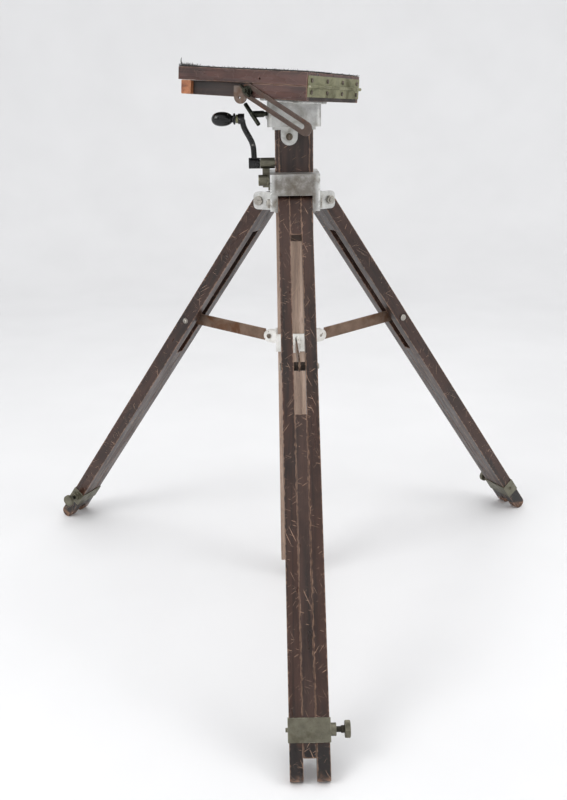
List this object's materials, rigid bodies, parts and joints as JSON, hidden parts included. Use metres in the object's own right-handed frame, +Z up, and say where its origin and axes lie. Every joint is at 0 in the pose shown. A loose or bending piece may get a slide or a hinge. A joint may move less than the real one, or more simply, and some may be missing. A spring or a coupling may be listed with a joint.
{
  "type": "wooden camera tripod",
  "caption": "Wooden field tripod with folding strut-braced legs, telescoping leg bars, a crank-raised square column and a panning, tilting camera board.",
  "frame": {"origin": "on the floor under the column's axis, legs open and column down", "axes": "+Z up the column, the front leg points along -Y"},
  "size_m": [1.0474, 0.9161, 0.9484],
  "materials": {
    "cast_aluminium": "satin, sand cast and worn",
    "leg_wood": "dark varnish, scratched",
    "bar_wood": "worn varnish",
    "column_wood": "stained above, bare below",
    "board_wood": "dark varnish",
    "cleat_wood": "bare end grain",
    "felt": "matte",
    "nickel": "tarnished nickel plate",
    "strap_steel": "browned",
    "old_brass": "dull olive patina",
    "black_paint": "gloss japanned",
    "black_gloss": "polished",
    "screw_steel": "dull",
    "dark_steel": "blackened"
  },
  "bodies": {
    "crown": {"crown_casting": "cast_aluminium", "leg_hinge_bolts": "screw_steel", "leg_hinge_nuts": "screw_steel", "crank_bearing": "old_brass"},
    "column": {"column_front_board": "column_wood", "column_back_board": "column_wood", "column_right_board": "column_wood", "column_left_strips": "column_wood", "column_rack": "screw_steel", "column_foot_plug": "column_wood", "head_socket": "cast_aluminium", "tab_screws": "screw_steel"},
    "crank": {"crank_shaft": "screw_steel", "drive_pinion": "screw_steel", "crank_arm": "black_paint", "knob_spindle": "old_brass"},
    "crank_grip": {"crank_knob": "black_gloss"},
    "column_lock": {"column_lock_screw": "old_brass"},
    "pan_lock": {"pan_lock_screw": "dark_steel"},
    "platform_base": {"pan_flange": "cast_aluminium", "base_panel": "board_wood", "base_end_cleat": "cleat_wood", "base_side_blocks": "board_wood", "stay_plate": "strap_steel", "stay_stud": "dark_steel", "hinge_leaf_lower": "old_brass", "hinge_pin": "screw_steel", "hinge_screws_lower": "screw_steel"},
    "platform_top": {"top_board": "board_wood", "top_felt": "felt", "hinge_leaf_upper": "old_brass", "hinge_screws_upper": "screw_steel", "camera_bush": "old_brass"},
    "camera_screw_body": {"camera_screw": "screw_steel"},
    "stay_pivot": {"stay_guide": "dark_steel"},
    "stay": {"stay_bar": "strap_steel"},
    "stay_nut": {"stay_wing_nut": "dark_steel"},
    "collar": {"spreader_collar": "cast_aluminium", "collar_pins": "screw_steel"},
    "leg_front": {"leg_front_rails": "leg_wood", "leg_front_block": "leg_wood", "leg_front_clamp_band": "nickel", "leg_front_brace_bolt": "screw_steel"},
    "extension_front": {"leg_front_sliding_bar": "bar_wood"},
    "clamp_front": {"leg_front_clamp_screw": "nickel"},
    "brace_front": {"brace_front": "strap_steel"},
    "leg_right": {"leg_right_rails": "leg_wood", "leg_right_block": "leg_wood", "leg_right_clamp_band": "nickel", "leg_right_brace_bolt": "screw_steel"},
    "extension_right": {"leg_right_sliding_bar": "bar_wood"},
    "clamp_right": {"leg_right_clamp_screw": "nickel"},
    "brace_right": {"brace_right": "strap_steel"},
    "leg_left": {"leg_left_rails": "leg_wood", "leg_left_block": "leg_wood", "leg_left_clamp_band": "nickel", "leg_left_brace_bolt": "screw_steel"},
    "extension_left": {"leg_left_sliding_bar": "bar_wood"},
    "clamp_left": {"leg_left_clamp_screw": "nickel"},
    "brace_left": {"brace_left": "strap_steel"}
  },
  "joints": [
    {"name": "leg_front_fold", "type": "hinge", "parent": "crown", "child": "leg_front", "pos_m": [0, -0.0485, 0.7275], "axis": [1, 0, 0], "range_deg": [0, 29]},
    {"name": "leg_front_extend", "type": "slide", "parent": "leg_front", "child": "extension_front", "axis": [0, -0.5913, -0.8064], "range_m": [0, 0.36]},
    {"name": "leg_front_clamp_turn", "type": "hinge", "parent": "leg_front", "child": "clamp_front", "pos_m": [0.04, -0.53994, 0.05726], "axis": [1, 0, 0], "range_deg": [0, 360]},
    {"name": "brace_front_swing", "type": "hinge", "parent": "collar", "child": "brace_front", "pos_m": [0, -0.049, 0.47863], "axis": [1, 0, 0], "range_deg": [-72.85, 0]},
    {"name": "leg_right_fold", "type": "hinge", "parent": "crown", "child": "leg_right", "pos_m": [0.0446, 0.02875, 0.7275], "axis": [-0.5, 0.866, 0], "range_deg": [0, 29]},
    {"name": "leg_right_extend", "type": "slide", "parent": "leg_right", "child": "extension_right", "axis": [0.5121, 0.2957, -0.8064], "range_m": [0, 0.36]},
    {"name": "leg_right_clamp_turn", "type": "hinge", "parent": "leg_right", "child": "clamp_right", "pos_m": [0.4502, 0.30911, 0.05726], "axis": [-0.5, 0.866, 0], "range_deg": [0, 360]},
    {"name": "brace_right_swing", "type": "hinge", "parent": "collar", "child": "brace_right", "pos_m": [0.04503, 0.029, 0.47863], "axis": [-0.5, 0.866, 0], "range_deg": [-72.85, 0]},
    {"name": "leg_left_fold", "type": "hinge", "parent": "crown", "child": "leg_left", "pos_m": [-0.0446, 0.02875, 0.7275], "axis": [-0.5, -0.866, 0], "range_deg": [0, 29]},
    {"name": "leg_left_extend", "type": "slide", "parent": "leg_left", "child": "extension_left", "axis": [-0.5121, 0.2957, -0.8064], "range_m": [0, 0.36]},
    {"name": "leg_left_clamp_turn", "type": "hinge", "parent": "leg_left", "child": "clamp_left", "pos_m": [-0.4902, 0.23983, 0.05726], "axis": [-0.5, -0.866, 0], "range_deg": [0, 360]},
    {"name": "brace_left_swing", "type": "hinge", "parent": "collar", "child": "brace_left", "pos_m": [-0.04503, 0.029, 0.47863], "axis": [-0.5, -0.866, 0], "range_deg": [-72.85, 0]},
    {"name": "collar_slide", "type": "slide", "parent": "crown", "child": "collar", "axis": [0, 0, 1], "range_m": [-0.20662, 0]},
    {"name": "column_lift", "type": "slide", "parent": "crown", "child": "column", "axis": [0, 0, 1], "range_m": [0, 0.3]},
    {"name": "crank_turn", "type": "hinge", "parent": "crown", "child": "crank", "pos_m": [0, -0.005, 0.7905], "axis": [1, 0, 0], "range_deg": [0, 1964.44]},
    {"name": "crank_knob_spin", "type": "hinge", "parent": "crank", "child": "crank_grip", "pos_m": [-0.113, -0.005, 0.8628], "axis": [1, 0, 0], "continuous": true},
    {"name": "column_lock_turn", "type": "hinge", "parent": "crown", "child": "column_lock", "pos_m": [-0.05, -0.0165, 0.763], "axis": [1, 0, 0], "range_deg": [0, 360]},
    {"name": "pan_lock_turn", "type": "hinge", "parent": "column", "child": "pan_lock", "pos_m": [-0.05734, -0.04015, 0.871], "axis": [-0.8192, -0.5736, 0], "range_deg": [0, 80]},
    {"name": "pan", "type": "hinge", "parent": "column", "child": "platform_base", "pos_m": [0, 0, 0.892], "axis": [0.0663, 0, 0.9978], "range_deg": [-25, 180]},
    {"name": "top_tilt", "type": "hinge", "parent": "platform_base", "child": "platform_top", "pos_m": [0.06903, -0.0391, 0.90946], "axis": [0.4989, 0.866, -0.0331], "range_deg": [0, 40]},
    {"name": "camera_screw_lift", "type": "slide", "parent": "platform_top", "child": "camera_screw_body", "axis": [0.0663, 0, 0.9978], "range_m": [0, 0.009]},
    {"name": "stay_swing", "type": "hinge", "parent": "platform_base", "child": "stay_pivot", "pos_m": [-0.07312, -0.06814, 0.90738], "axis": [-0.4989, -0.866, 0.0331], "range_deg": [0, 45]},
    {"name": "stay_slide", "type": "slide", "parent": "stay_pivot", "child": "stay", "axis": [-0.7514, 0.4513, 0.4814], "range_m": [0, 0.095]},
    {"name": "stay_nut_turn", "type": "hinge", "parent": "platform_base", "child": "stay_nut", "pos_m": [-0.07312, -0.06814, 0.90738], "axis": [0.4989, 0.866, -0.0331], "range_deg": [0, 180]}
  ],
  "couplings": [
    {"joint": "brace_front_swing", "follows": "leg_front_fold", "ratio": -2.5119},
    {"joint": "leg_right_fold", "follows": "leg_front_fold", "ratio": 1},
    {"joint": "brace_right_swing", "follows": "leg_front_fold", "ratio": -2.5119},
    {"joint": "leg_left_fold", "follows": "leg_front_fold", "ratio": 1},
    {"joint": "brace_left_swing", "follows": "leg_front_fold", "ratio": -2.5119},
    {"joint": "collar_slide", "follows": "leg_front_fold", "m_per_rad": -0.4082},
    {"joint": "crank_turn", "follows": "column_lift", "rad_per_m": 114.29}
  ]
}
